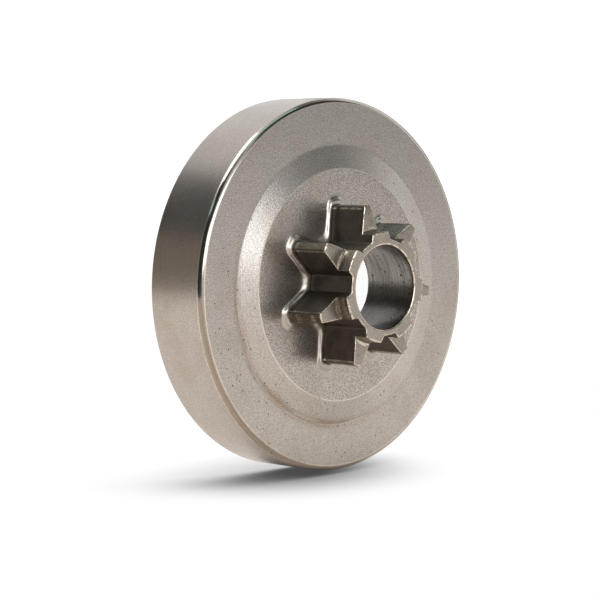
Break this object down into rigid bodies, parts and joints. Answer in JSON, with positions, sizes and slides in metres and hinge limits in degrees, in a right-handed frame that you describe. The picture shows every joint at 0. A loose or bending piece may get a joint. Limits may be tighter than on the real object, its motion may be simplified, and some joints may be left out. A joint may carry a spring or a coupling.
{
  "type": "chainsaw spur sprocket",
  "caption": "Shallow steel clutch drum with a toothed spur sleeve fixed in its floor, for driving a saw chain from a centrifugal clutch.",
  "frame": {"origin": "on the axis, at the drum's open rim, which is the face that it rests on", "axes": "+Z along the bore, from the drum towards the sprocket's collar; one tooth points along +X"},
  "size_m": [0.072, 0.072, 0.0261],
  "materials": {
    "drum_steel": "satin, lightly pitted",
    "sprocket_steel": "dark satin, worn bright on its edges"
  },
  "bodies": {
    "root": {"clutch_drum": "drum_steel", "spur_sprocket": "sprocket_steel"}
  },
  "joints": []
}
